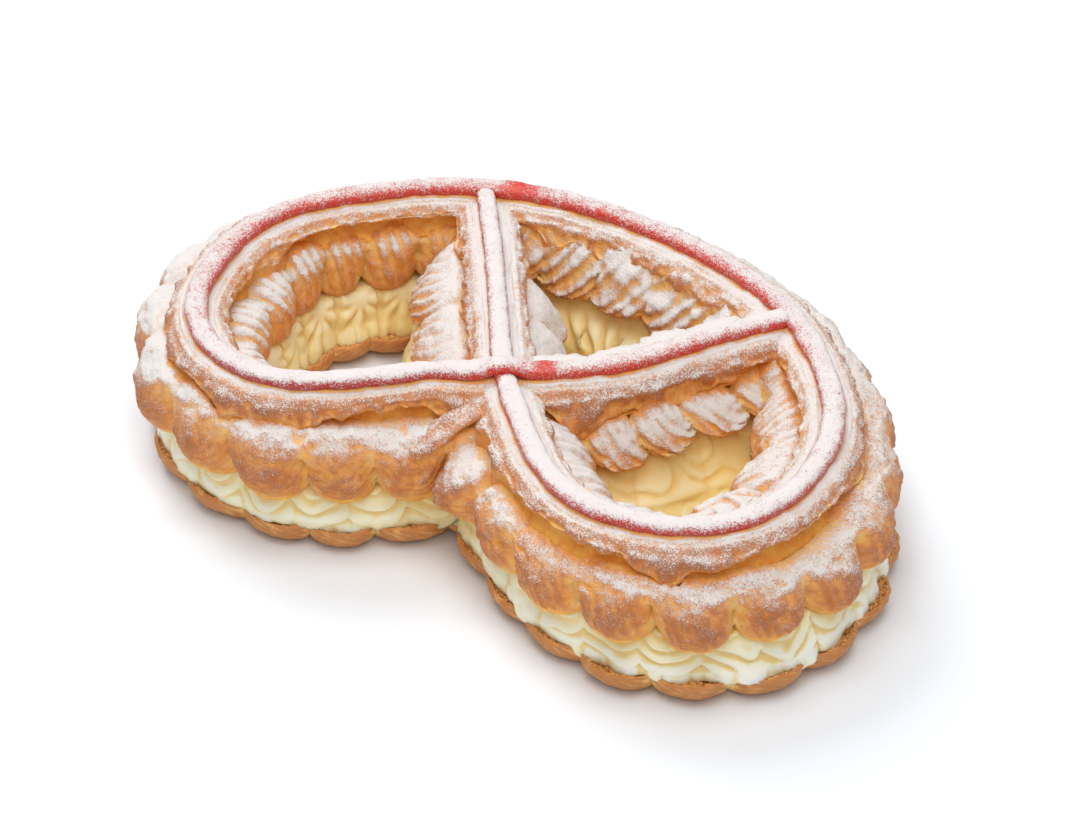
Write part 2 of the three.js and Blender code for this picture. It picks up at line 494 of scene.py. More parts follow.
def crown_pieces():
    """The shells' pieces, and the notches of the loop's outer and inner edges."""
    outer_length, inner_length = LOOP.right_arc[-1] - OVERLAP, LOOP.left_arc[-1] - OVERLAP
    outer = notches(
        OUTER_FORWARD + tuple(outer_length - back for back in OUTER_BACK), -20, outer_length + 20, 35)
    inner = notches(
        INNER_FORWARD + tuple(inner_length - back for back in INNER_BACK), -20, inner_length + 20, 25)
    by_strand = notches(BY_STRAND, -150, 20, 45)
    flaps = notches(FLAPS, -150, 20, 26)
    # Places where the shells differ, each 0 to 1: by the line first, then by the outer edge.
    along, outside = LOOP.along[:, None], LOOP.right_arc[:, None]
    at_a, at_b = distance_to(A_MEETS), distance_to(B_MEETS)
    past_a = soft(at_a - 10, at_a + 10, along)
    far = soft(at_b - 25, at_b, along) - past_a
    right_wall = hump(along, 300, 60)
    round_the_right = hump(along, 330, 60)
    right_loop = soft(420, 360, along) * soft(48, 60, outside)
    swirl = hump(outside, 31, 11)
    split = hump(outside, 15, 8) + hump(outside, 47.5, 9)
    sunken = hump(outside, 100, 32) + hump(outside, 221, 32)
    front = hump(outside, 205, 40)
    round_the_left = hump(outside, outer_length - 220, 70)
    tongues = hump(STRAND_A.left_arc, -54, 30)[:, None]
    return [
        shells(
            "upper_choux_loop", LOOP,
            dict(edges=inner, dent=5.0 + 3.5 * past_a + 5.0 * right_wall,
                 ribs_of=blended(
                     blended(fanned(5.0, 1.9, -0.9), flaked(7.5, 4.2, -2.2, 2.2), right_wall),
                     flaked(9.0, 3.3, 2.2), far),
                 lean=3.0 - 1.5 * past_a, sheet=0.45 + 0.5 * far - 0.45 * past_a, lift=7.5 * far,
                 spread=2.0 * far + 3.5 * right_wall, hang=-6.0 * far, crusty=0.3 + 0.5 * far,
                 cleft=0.5 + 0.3 * past_a + 0.6 * right_wall, cover=looked_up(INNER_COVER, along),
                 streaks=0.3 + 0.35 * right_wall + 0.3 * past_a),
            dict(edges=outer, ribs_of=blended(ringed, fanned(4.0, 1.0, 0.8), right_loop),
                 dent=9.0 + 8.0 * split + 10.0 * round_the_left + 8.0 * round_the_right - 3.0 * front,
                 hang=5.0 - 3.0 * swirl, lean=2.0, crusty=1.0,
                 cleft=0.15 + 0.6 * split + 0.28 * round_the_left, toe=1.2 + 6.0 * swirl,
                 lift=3.5 * round_the_left - 5.0 * swirl - 4.0 * sunken,
                 notch_top=0.85 + 0.5 * swirl + 0.3 * round_the_left + 0.35 * round_the_right,
                 cover=1.0 - 0.3 * hump(along, 360, 60) + 0.85 * round_the_left,
                 spread=spread_along(LOOP.right_arc, OUTER_SPREAD))),
        shells(
            "upper_choux_strand_a", STRAND_A,
            dict(edges=flaps, ribs_of=fanned(6.0, 0.8), dent=11.0, lean=3.0, sheet=0.6, cleft=0.8,
                 cover=2.0, spread=7.0 * tongues, toe=2.0 * tongues),
            dict(edges=by_strand, ribs_of=flaked(7.0, 2.3, -1.6), dent=6.0, lean=-7.0, sheet=0.75,
                 cleft=0.9, cover=1.15, streaks=0.85)),
        shells(
            "upper_choux_strand_b", STRAND_B,
            dict(edges=notches((), -20, 140, 24), ribs_of=flaked(7.0, 2.5, 1.5), dent=7.0, lean=3.0,
                 sheet=0.3, lift=9.5, spread=8.0, cover=2.0, streaks=0.3),
            dict(edges=notches((), -20, 140, 24),
                 ribs_of=blended(fanned(5.0, 2.2, 1.0), flaked(9.0, 3.2, 1.6), 0.5),
                 dent=7.5, lean=5.0, sheet=0.7, cleft=0.9, lift=-3.5, spread=3.0, cover=2.6, streaks=0.35,
                 hang=-6.0 * soft(45, 90, STRAND_B.right_arc)[:, None])),
    ], outer, inner


# ---------------------------------------------------------------- upper half: the raised strand

def stacked(along, corners):
    """Corners of a section, each (aside, height), as one array with a section for every ring along."""
    return np.array([[part + 0 * along for part in corner] for corner in corners]).transpose(2, 0, 1)


def smooth_sections(corners, places):
    """Uniform Catmull-Rom through the corners of every ring's section at once, read at those places."""
    first, last = 2 * corners[:, :1] - corners[:, 1:2], 2 * corners[:, -1:] - corners[:, -2:-1]
    corners = np.concatenate([first, corners, last], axis=1)
    i = np.minimum(places.astype(int), corners.shape[1] - 4)
    w = (places - i)[None, :, None]
    p0, p1, p2, p3 = (corners[:, i + k] for k in range(4))
    return p1 + 0.5 * w * (p2 - p0 + w * (2 * p0 - 5 * p1 + 4 * p2 - p3 + w * (3 * (p1 - p2) + p3 - p0)))


STRAND_PLACES = np.linspace(0, 13, 40)  # between the corners of the strand's section
TORN_CORNER = 9  # the corner where its crust is torn
# How long its skirts hang along the line, on the side of the outer edge and on the other.
OUTER_SKIRT = (
    (0, 4), (110, 4), (136, 3.5), (160, 4.5), (184, 5), (196, 4), (215, 4), (232, 5), (246, 8.5),
    (262, 9.5), (274, 7), (286, 4.5), (310, 4), (330, 5), (390, 7), (790, 6), (812, 9), (848, 8.5),
    (858, 4.5), (887, 4.5), (894, 8), (912, 8), (935, 10), (950, 12), (962, 15), (972, 16), (984, 12),
    (996, 15), (1012, 11), (1026, 7), (1045, 4),
)
INNER_SKIRT = (
    (0, 6), (127, 6), (430, 6), (450, 4.5), (560, 4.5), (596, 2.5), (700, 2.5), (740, 5), (1045, 6),
)
# Where the crust still hangs from the strand down to the shells: along the line, and how far it spreads.
OUTER_BRIDGES = (
    (24, 14), (69, 14), (150, 3), (174, 5), (256, 6), (345, 10), (420, 20), (500, 14), (640, 14),
    (752, 12), (775, 6), (812, 4), (830, 13), (903, 8), (948, 8),
)
INNER_BRIDGES = (
    (40, 8), (110, 9), (300, 16), (470, 26), (530, 22), (560, 10), (705, 14), (985, 9), (1020, 12),
)
# How steeply the outer shoulder falls away, along the line: it is almost level on the far side.
SHOULDER = (
    (0, 0.3), (127, 0.4), (160, 0.5), (184, 0.6), (206, 0.4), (232, 0.5), (250, 1.1), (268, 1.1),
    (286, 0.5), (320, 0.6), (400, 0.5), (440, 0.3), (740, 0.3), (790, 0.8), (846, 0.8), (860, 0.35),
    (886, 0.35), (898, 0.8), (935, 1.2), (1020, 1.2), (1045, 0.3),
)
INNER_SHOULDER = ((0, 0.4),)  # the same, for the inner one
# How far the strand and its icing wander to the left of the line.
STRAND_SHIFT = ((0, 0), (815, 0), (850, 2.6), (888, 3.2), (908, 1.0), (920, 0), (1045, 0))


def strand_side(along, skirt, bridge, hollow, fall):
    """One side of the strand: a shoulder, a lip, a skirt of crust with a torn edge, and a hollow below."""
    wave = 0.35 * wander(along, 9)
    layers = 0.45 + 0.35 * wander(along, 30)
    drape = soft(9, 13, skirt)
    fold = (1.1 + 1.0 * drape) * wander(along, 19) + 0.9 * drape * wander(along, 6)
    return smooth_sections(stacked(along, [
        (1.5, STRAND_TOP + 1.2),
        (3.8, STRAND_TOP + 1.0),
        (5.2, STRAND_TOP + 0.4 - 0.6 * layers),
        (6.5 + wave, STRAND_TOP + 0.2 + layers),
        (7.9 + wave, STRAND_TOP - 0.4 * layers - 0.3 * fall),
        (9.1 + 0.3 * fall, STRAND_TOP - 0.2 + layers - 1.2 * fall),
        (10.3 + wave + 1.0 * fall, STRAND_TOP - 0.5 - 0.4 * layers - 2.4 * fall),
        (11.2 + 0.5 * bridge + 1.8 * fall, STRAND_TOP - 1.8 + wave - 3.0 * fall),
        (11.6 + 1.5 * bridge + 1.8 * fall + fold, STRAND_TOP - 0.6 * skirt - 2.0 * fall),
        (12.0 + 2.5 * bridge + 1.2 * fall + 0.8 * drape * fold, STRAND_TOP - skirt - 0.5 * fall),
        (11.4 - hollow + 4.0 * bridge, STRAND_TOP - skirt - 0.9),
        (10.9 - hollow + 4.5 * bridge, (STRAND_TOP - skirt + FOOT) / 2),
        (11.0 + 4.0 * bridge, FOOT + 2.0),
        (9.0, FOOT),
    ]), STRAND_PLACES)


def strand():
    along = WHOLE.along
    sides, bridged = [], []
    for bridges, skirts, falls in (
        (INNER_BRIDGES, INNER_SKIRT, INNER_SHOULDER),
        (OUTER_BRIDGES, OUTER_SKIRT, SHOULDER),
    ):
        fall = looked_up(falls, along)
        bridge = sum(hump(along, middle, width) for middle, width in bridges).clip(0, 1)
        skirt = looked_up(skirts, along) * (1 + 0.3 * wander(along, 11))
        skirt += 1.9 * wander(along, 6) + 1.1 * wander(along, 2.6)
        skirt = np.maximum(skirt, 2.8 + 2.6 * fall)
        hollow = 2.6 + 0.9 * wander(along, 15) + 2.0 * soft(7.5, 4.5, skirt)
        sides.append(strand_side(along, skirt + 4 * bridge, bridge, hollow * (1 - bridge), fall))
        bridged.append(bridge)
    left, right = sides
    aside = np.concatenate([left[..., 0][:, ::-1], -right[..., 0]], axis=1)
    height = np.concatenate([left[..., 1][:, ::-1], right[..., 1]], axis=1)
    small = WHOLE.rounded_ends(6)[:, None]
    middle = (FOOT + STRAND_TOP) / 2
    shift = looked_up(STRAND_SHIFT, along)[:, None]
    rings = WHOLE.points(aside * small + shift, middle + (height - middle) * small)
    piece = laid_tube("raised_strand", rings)
    places = np.concatenate([STRAND_PLACES[::-1], STRAND_PLACES])[None, :]
    bridge = np.repeat(np.stack(bridged, axis=1), len(STRAND_PLACES), axis=1)
    lip = soft(6.0, 7.0, places) * (1 - soft(8.5, 9.3, places)) * np.ones_like(bridge)
    points = points_of(piece)
    ragged = 1.0 * noise(points, 4.5) + 0.7 * noise(points, 2.2) + 0.3 * noise(points, 1.2)
    push(piece, 0.7 * noise(points, 9) + (0.2 + 1.3 * lip.ravel()) * ragged)
    torn = (noise(points, 7) + 0.6 * noise(points, 2.5)).reshape(bridge.shape)
    inside = soft(TORN_CORNER + 0.3, TORN_CORNER + 0.8, places + 0.3 * torn)
    inside *= 1 - 0.9 * soft(0.3, 0.6, bridge + 0.25 * torn)
    # Sugar lies thick on the shoulders, and thinner on the flanks below them.
    along = along[:, None]
    outer_side = np.repeat((0.0, 1.0), len(STRAND_PLACES))[None, :]
    flank = soft(3.2, 4.6, places)
    cover = 1.1 + 1.6 * soft(3.4, 1.6, places) - (0.25 + 0.18 * outer_side) * flank
    cover = cover + outer_side * 0.1 * (soft(935, 960, along) - soft(1010, 1045, along))
    cover -= (0.28 * (1 - outer_side) * hump(along, 720, 90) +
              0.15 * outer_side * hump(along, 860, 50)) * flank
    browned = soft(4.4, 5.6, places) * soft(8.8, 7.8, places)
    mark(piece, "inside", inside)
    mark(piece, "cover", cover)
    # Real browning of the strand's flanks, more on the outer side; on the shells the same mark is painted
    # shade.
    mark(piece, "toast_and_shade", (0.4 + 0.6 * outer_side) * browned + 0 * bridge)
    return piece


# A strip of crust torn loose beside the knot, from the strand to the shells: x, y, z, width and thickness.
TORN_STRIP = np.array([
    (9, -46, 69.5, 9, 4), (4, -53, 69, 12, 3.6), (-2, -61, 65.5, 12, 3), (-8, -69, 61, 14, 3),
    (-14, -76, 56.5, 16, 3.4), (-19, -81, 52.5, 15, 4),
], float)


def torn_strip():
    t = np.linspace(0, 1, 48)
    path = catmull_rom(TORN_STRIP[:, :3], t)
    width, thick = catmull_rom(TORN_STRIP[:, 3:], t).T
    ahead = np.gradient(path, axis=0)
    ahead /= np.linalg.norm(ahead, axis=1)[:, None]
    across = np.cross(ahead, (-0.3, -0.45, 0.84))
    across /= np.linalg.norm(across, axis=1)[:, None]
    out = np.cross(across, ahead)
    angle = np.linspace(0, 2 * math.pi, 40, endpoint=False)[None, :]
    small = np.sqrt(np.clip(np.minimum(t, 1 - t) * 8, 0.02, 1))[:, None]
    aside = 0.5 * width[:, None] * power(np.cos(angle), 0.8) * small
    lift = 0.5 * thick[:, None] * power(np.sin(angle), 0.8) * small - 0.03 * aside ** 2
    rings = path[:, None] + across[:, None] * aside[..., None] + out[:, None] * lift[..., None]
    piece = laid_tube("torn_crust", rings)
    points = points_of(piece)
    push(piece, 0.9 * noise(points, 6) + 0.7 * noise(points, 3) + 0.4 * noise(points, 1.5))
    under = soft(0.2, -0.6, np.sin(angle)) + 0 * aside
    mark(piece, "inside", 0.7 * under)
    mark(piece, "cover", 0.55 + 0 * aside)
    mark(piece, "toast_and_shade", 0.8 - 0.8 * under)
    return piece


# How much sugar lies on the icing, along the line: less on the far side, and none on two blobs. Where it is
# high, the red is also painted darker as shade.
ICING_COVER = (
    (0, 1.0), (127, 1.05), (200, 1.1), (300, 1.0), (400, 0.9), (428, 0.75), (560, 0.68), (640, 0.7),
    (740, 0.7), (790, 0.85), (830, 1.05), (905, 1.05), (925, 0.8), (960, 0.78), (1010, 0.82), (1045, 1.0),
)
BARE_ICING = ((576, 5), (582, 5), (934, 4), (939, 4))  # two for each blob: along the line, and how far
# On which side of it less sugar lies: to the left of the line, or to the right where negative.
ICING_BARE_SIDE = (
    (0, -0.1), (127, -0.2), (380, -0.1), (440, 0.5), (700, 0.5), (790, 0.1), (905, -0.15), (940, -0.4),
    (1045, -0.3),
)


def icing():
    along = WHOLE.along[:, None]
    angle = np.linspace(0, 2 * math.pi, 32, endpoint=False)[None, :]
    wobble = 1 + 0.07 * wander(along, 9) + 0.04 * wander(along, 3.5)
    low, high = STRAND_TOP - 0.2, ICING_TOP + 1.2
    small = WHOLE.rounded_ends(3.5)[:, None]
    thick = 4.7 - 0.6 * soft(118, 100, along)
    aside = thick * power(np.cos(angle), 0.75) * wobble * small
    over = 3.6 * hump(along, KNOT[1], 9)  # where it crosses its own first pass
    height = (low + high) / 2 + over + (high - low) / 2 * power(np.sin(angle), 0.85) * small * wobble
    piece = laid_tube("icing_rope", WHOLE.points(aside + looked_up(STRAND_SHIFT, along), height))
    roughen(piece, 7, 1.0)
    cover = looked_up(ICING_COVER, along)
    cover -= sum(0.55 * hump(along, middle, width) for middle, width in BARE_ICING)
    bare_side = looked_up(ICING_BARE_SIDE, along)
    mark(piece, "cover", (cover * (1 - bare_side * np.cos(angle))).clip(0, 2))
    return piece


# ---------------------------------------------------------------- cream

def petals(drop, offset, arc, spacing, depth):
    """Round petals that overlap downwards, and how far each hangs."""
    turn = np.hypot(offset, drop) / spacing + 0.5 * wander(arc, 11)[:, None]
    turn += 0.04 * drop * wander(arc, 14)[:, None]
    petal = turn % 1.0
    return depth * petal ** 1.5 * soft(1.0, 0.86, petal) * soft(22, 15, drop), 0.8 * petal


def rosettes(drop, offset, arc, spacing, depth):
    """Round rosettes of a star nozzle, with eight arms that spread from their middles."""
    turn = np.arctan2(drop - 6, offset) + 0.25 * wander(arc, 11)[:, None]
    reach = np.hypot(offset, drop - 6)
    arm = abs(np.cos(4 * turn)) ** 0.8
    bulb = arm * soft(1, 9, reach) + 0.9 * hump(reach, 0, 9)
    return depth * bulb * (0.3 + 0.7 * soft(10, 7, offset)), 2.2 * arm ** 2


def star_arms(drop, offset, arc, spacing, depth):
    """Arms of a star nozzle side by side, each with a tip of its own."""
    slant = drop * (0.5 + 0.35 * wander(arc, 12)[:, None])
    place = arc[:, None] + slant + 1.5 * wander(arc, 9)[:, None]
    arm = abs(np.cos(math.pi * place / spacing)) ** 0.8
    bulb = soft(0, 9, drop) * (1.2 - soft(14, 20, drop))
    return 1.5 * depth * arm * bulb, 2.5 * arm ** 3


# Places between the corners of the cream's section, close together where it shows.
CREAM_PLACES = np.interp(np.linspace(0, 1, 54), (0, 0.08, 0.95, 1), (0, 2, 8.4, 10))


def cream_side(reach, arc, edges, piped, spacing, depth, skirt, swirl=3.0, frill=1.0, rise=0.0):
    """One side of the cream, which ends in a frill that hangs over the rim of the lower half."""
    skirt = skirt + 0 * arc
    _, _, swell, width = shells_at(arc, edges)
    lobe = shells_at(arc, notches((), arc[0] - 20, arc[-1] + 20, 18))[2]
    fluted = frill * (1.6 * wander(arc, 16) + 0.9 * wander(arc, 6) + 0.3 * wander(arc, 2.4))
    fluted = fluted + 2.0 * lobe - 1.2
    ripple = 1.4 * wander(arc, 15)
    hang = (ripple + frill * (0.9 * wander(arc, 6) + 0.15 * wander(arc, 2.4)) + 1.4 * lobe).clip(0)
    edge = reach - 0.06 * width * (1 - swell)
    tip = edge + (skirt + fluted).clip(-2)
    slope = 0.72 * (skirt - 3).clip(0)
    section = smooth_sections(stacked(arc, [
        (0.1 * edge, CREAM_TOP + 1),
        (edge - 13, CREAM_TOP + 1 + rise),
        (edge - 7.5, CREAM_TOP - 0.5 + rise),
        (edge - 4.5 + 0.3 * slope, CREAM_TOP - 4.5 + 0.6 * rise),
        (edge - 3.5 + 0.7 * slope, RIM + 10 + 0.2 * rise),
        (edge - 2.2 + slope, RIM + 6),
        ((edge + tip) / 2 - 0.5, RIM + 2.8),
        (tip, RIM + 0.2 - hang),
        (tip - 1.6, RIM - 0.5 - 0.7 * hang),
        (edge - 6, RIM - 0.7),
        (0.1 * edge, RIM - 0.7),
    ]), CREAM_PLACES)
    aside, height = section[..., 0], section[..., 1]
    place = arc[:, None] + swirl * (height - RIM) / (CREAM_TOP - RIM)
    _, across, _, width = shells_at(place, edges)
    ribs, drop = piped(CREAM_TOP + 2.5 - height, abs(across) * width / 2, arc, spacing, depth)
    showing = soft(1.5, 2.5, CREAM_PLACES) * (1 - soft(7.2, 8.2, CREAM_PLACES))
    return aside, height - drop * hump(CREAM_PLACES, 7, 1.3), ribs * showing


def cream(name, run, left, right):
    middle = (RIM + CREAM_TOP) / 2
    return from_sides(name, run, cream_side, left, right, middle, end=8, size=10, depth=1.4)[0]


def mixed(first, second, amount):
    """A way of piping that turns into another along the line."""
    def piped(*given):
        (ribs_1, tip_1), (ribs_2, tip_2) = first(*given), second(*given)
        return ribs_1 + (ribs_2 - ribs_1) * amount, tip_1 + (tip_2 - tip_1) * amount
    return piped


def cream_pieces():
    left_end, right_end = LOOP.left_arc[-1], LOOP.right_arc[-1]
    in_left_hole, in_middle_hole = (
        soft(distance_to(meets) - 8, distance_to(meets) + 8, LOOP.along)[:, None]
        for meets in (A_MEETS, B_MEETS))
    calm = 1 - 0.75 * (hump(LOOP.right_arc, right_end - 190, 45) + hump(LOOP.right_arc, 80, 30))
    return [
        cream(
            "cream_loop", LOOP,
            dict(edges=notches((), -20, left_end + 20, 19),
                 piped=mixed(mixed(petals, star_arms, in_middle_hole), rosettes, in_left_hole),
                 spacing=9.5, depth=3.3, rise=6.5 * (in_middle_hole - in_left_hole).ravel(),
                 skirt=(12.0 - 2.0 * in_middle_hole - 9.5 * in_left_hole).ravel()),
            dict(edges=notches((), -20, right_end + 20, 25), piped=petals, spacing=6.4,
                 depth=2.8 * calm[:, None], frill=1.2,
                 skirt=spread_along(LOOP.right_arc, BASE_SPREAD).ravel() - 3.6)),
        cream(
            "cream_strand_a", STRAND_A,
            dict(edges=notches((), -160, 20, 16), piped=petals, spacing=6.0, depth=3.0, skirt=5.0),
            dict(edges=notches((), -160, 20, 19), piped=rosettes, spacing=8.0, depth=3.0, skirt=1.0)),
        cream(
            "cream_strand_b", STRAND_B,
            dict(edges=notches((), -20, 160, 17), piped=petals, spacing=6.0, depth=3.0, skirt=7.0),
            dict(edges=notches((), -20, 160, 31), piped=petals, spacing=8.5, depth=1.7, skirt=13.0,
                 swirl=14.0, rise=6.0 * soft(40, 85, STRAND_B.right_arc))),
    ]


# ---------------------------------------------------------------- lower half

BASE_PLACES = np.linspace(0, 11, 36)  # between the corners of its section
BASE_MIDDLE = 6.8  # its middle height


def base_side(reach, arc, edges, dent, spread):
    """One side of the lower half: a scalloped wall with a crust, up to the cut crumb."""
    number, across, swell, _ = shells_at(arc, edges)
    fuller = rng.uniform(-1, 1, len(edges))[number] * swell
    edge = reach + np.ravel(spread) - dent * (1 - swell) + 0.9 * fuller
    corner = BASE_PLACES[None, :]
    section = smooth_sections(stacked(edge, [
        (0.1 * edge, 0.3),
        (edge - 13, 0.3),
        (edge - 10, 0.5),
        (edge - 5.5, 2.4),
        (edge - 2.3, 5.4),
        (edge - 0.5, 8.6),
        (edge, RIM - 1.6),
        (edge - 0.5, RIM - 0.3),
        (edge - 1.5, RIM - 0.1),
        (edge - 2.8, RIM - 1.1),
        (edge - 8, RIM - 1.0),
        (0.1 * edge, RIM - 1.0),
    ]), BASE_PLACES)
    turn = corner * 0.8 + 2.0 * across[:, None]
    ribs = 1.1 * (abs(np.sin(math.pi * turn)) ** 0.6 - 0.7) * soft(1.5, 3, corner) * soft(7.2, 6.2, corner)
    return section[..., 0], section[..., 1], ribs, soft(7.0, 7.8, corner) + 0 * edge[:, None]


def base(name, run, left, right):
    piece, crumb = from_sides(
        name, run, base_side, left, right, middle=BASE_MIDDLE, end=8, size=12, depth=1.4)
    points = points_of(piece)
    crumb = crumb.ravel()
    push(piece, 0.25 * noise(points, 3) + crumb * (0.7 * noise(points, 2.2) + 0.5 * noise(points, 1.3)))
    points = points_of(piece)
    points[:, 2] = np.maximum(points[:, 2], 0)
    move_to(piece, points)
    mark(piece, "inside", crumb)
    return piece


def base_pieces(outer, inner):
    strand_edges = notches((), -160, 160, 24)
    plain_side = dict(edges=strand_edges, dent=3.0, spread=1.0)
    in_left_hole = soft(distance_to(A_MEETS) - 8, distance_to(A_MEETS) + 30, LOOP.along)
    return [
        base("lower_choux_loop", LOOP, dict(edges=inner, dent=5.0, spread=1.0 + 5.5 * in_left_hole),
             dict(edges=outer, dent=9.0, spread=spread_along(LOOP.right_arc, BASE_SPREAD))),
        base("lower_choux_strand_a", STRAND_A, plain_side, plain_side),
        base("lower_choux_strand_b", STRAND_B, plain_side, plain_side),
    ]


# ---------------------------------------------------------------- what light and sugar reach

def seen_from(points, normals, direction, cell=1.1, slack=1.3):
    """How much each point faces a direction and isn't hidden from it by other points."""
    direction = np.array(direction) / np.linalg.norm(direction)
    facing = normals @ direction
    side = np.cross(direction, (0.36, 0.48, 0.8))
    side /= np.linalg.norm(side)
    flat = np.stack([points @ side, points @ np.cross(direction, side)], axis=1)
    place = np.floor((flat - flat.min(axis=0)) / cell).astype(int)
    key = place[:, 0] * (place[:, 1].max() + 1) + place[:, 1]
    depth = points @ direction
    nearest = np.full(key.max() + 1, -1e9)
    np.maximum.at(nearest, key, depth)
    return facing.clip(0) * soft(2.2 * slack, slack, nearest[key] - depth)


def directions(count, widest):
    """Directions evenly spread over the cap of the sky within that angle of straight up."""
    turn = np.arange(count) * math.pi * (3 - math.sqrt(5))
    rise = 1 - (np.arange(count) + 0.5) / count * (1 - math.cos(widest))
    flat = np.sqrt(1 - rise ** 2)
    return np.stack([flat * np.cos(turn), flat * np.sin(turn), rise], axis=1)


def evened(piece, values, passes):
    """A value of each point, evened out with its neighbours' on the grid."""
    sides = piece["sides"]
    grid = values.reshape(-1, sides, *values.shape[1:])
    for _ in range(passes):
        inner = np.concatenate([grid[:1], grid, grid[-1:]])
        around = np.roll(grid, 1, axis=1) + np.roll(grid, -1, axis=1) + inner[2:] + inner[:-2]
        grid = (grid + around) / 5
    return grid.reshape(values.shape)


SUGAR_FALLS_FROM = np.array([-0.06, 0.14, 1.0])  # the sugar was sieved a little from behind


def mark_light(pieces):
    """Marks on each piece how much sugar falls on it, how open to the sky it is, and where it bulges."""
    points = np.concatenate([points_of(piece) for piece in pieces])
    normals = np.concatenate([normals_of(piece) for piece in pieces])
    sieved = directions(20, math.radians(24)) + (SUGAR_FALLS_FROM - (0, 0, 1))
    dome = directions(48, math.radians(84))
    fall, sky = (
        sum(seen_from(points, normals, direction) / len(cap) for direction in cap)
        for cap in (sieved, dome))
    start = 0
    for piece in pieces:
        own = slice(start, start + len(piece.data.vertices))
        start = own.stop
        own_points, own_normals = points_of(piece), normals_of(piece)
        mark(piece, "dusting", evened(piece, fall[own], 1))
        mark(piece, "sky", 2 * evened(piece, sky[own], 4))
        for name, passes, size in (("bulge", 10, 0.5), ("swelling", 70, 2.0)):
            lift = ((own_points - evened(piece, own_points, passes)) * own_normals).sum(axis=1)
            mark(piece, name, np.clip(lift / size, -1, 1))


# ---------------------------------------------------------------- build

crown, outer_notches, inner_notches = crown_pieces()
bottom = base_pieces(outer_notches, inner_notches)
filling = cream_pieces()
ridge = [strand(), torn_strip()]
rope = icing()
mark_light([*crown, *bottom, *filling, *ridge, rope])


# ---------------------------------------------------------------- materials

def linear(hex_colour):
    channels = [int(hex_colour[i:i + 2], 16) / 255 for i in (1, 3, 5)]
    return [c / 12.92 if c <= 0.04045 else ((c + 0.055) / 1.055) ** 2.4 for c in channels] + [1.0]


def per(size):
    """The scale of a noise whose lumps have that size in millimetres."""
    return 1 / (size * MM)


def add(tree, kind, inputs={}, output=0, stops=(), **settings):
    """Adds a node with its settings, and returns one of its outputs.

    An input takes a value, a colour's hex code or another node's output. Stops are a ramp's (place, colour).
    """
    made = tree.nodes.new("ShaderNode" + kind)
    for name, value in settings.items():
        setattr(made, name, value)
    for place, colour in stops[2:]:
        made.color_ramp.elements.new(place)
    for element, (place, colour) in zip(made.color_ramp.elements if stops else (), stops):
        element.position, element.color = place, linear(colour)
    for socket, value in inputs.items():
        if isinstance(value, bpy.types.NodeSocket):
            tree.links.new(value, made.inputs[socket])
        else:
            made.inputs[socket].default_value = linear(value) if isinstance(value, str) else value
    return made.outputs[output]


def finish(name, **constants):
    """A new material, with constants on its shader's own sockets.

    It comes with its tree, its shader and object coordinates.
    """
    made = bpy.data.materials.new(name)
    made.use_nodes = True
    tree = made.node_tree
    shader = tree.nodes["Principled BSDF"]
    for socket, value in constants.items():
        shader.inputs[socket.replace("_", " ")].default_value = value
    return made, tree, shader, add(tree, "TexCoord", output="Object")


def link(tree, shader, **outputs):
    """Links outputs of nodes to sockets of the shader."""
    for socket, output in outputs.items():
        tree.links.new(output, shader.inputs[socket.replace("_", " ")])


def sugar_cover(tree, place, haze, sideways):
    """Where icing sugar lies: almost closed where it fell straight, in grains on slopes, and as a haze.

    The grains are drawn about five times as coarse as real ones, so that they show.
    """
    fell, cover = (
        add(tree, "Attribute", output="Fac", attribute_name=name)
        for name in ("dusting", "cover"))
    fell = add(tree, "Math", {0: fell, 1: cover}, operation="MULTIPLY")
    drifts = add(tree, "TexNoise", {"Vector": place, "Scale": per(5.0), "Detail": 3.0})
    drifts = add(tree, "Math", {0: drifts, 1: 1.5, 2: 0.6 * sideways - 2.65}, operation="MULTIPLY_ADD")
    level = add(tree, "Math", {0: fell, 1: 1.9 - 0.8 * sideways, 2: drifts}, operation="MULTIPLY_ADD")
    for size, strength in ((0.45, 3.4), (1.0, 1.8)):
        grains = add(tree, "TexNoise", {"Vector": place, "Scale": per(size), "Detail": 1.0})
        level = add(tree, "Math", {0: grains, 1: strength, 2: level}, operation="MULTIPLY_ADD")
    closed = add(tree, "MapRange", {"Value": level, "From Min": 1.15, "From Max": 1.9})
    veil = add(tree, "MapRange", {"Value": fell, "From Max": 0.8, "To Max": haze})
    return add(tree, "Math", {0: closed, 1: veil}, operation="MAXIMUM")


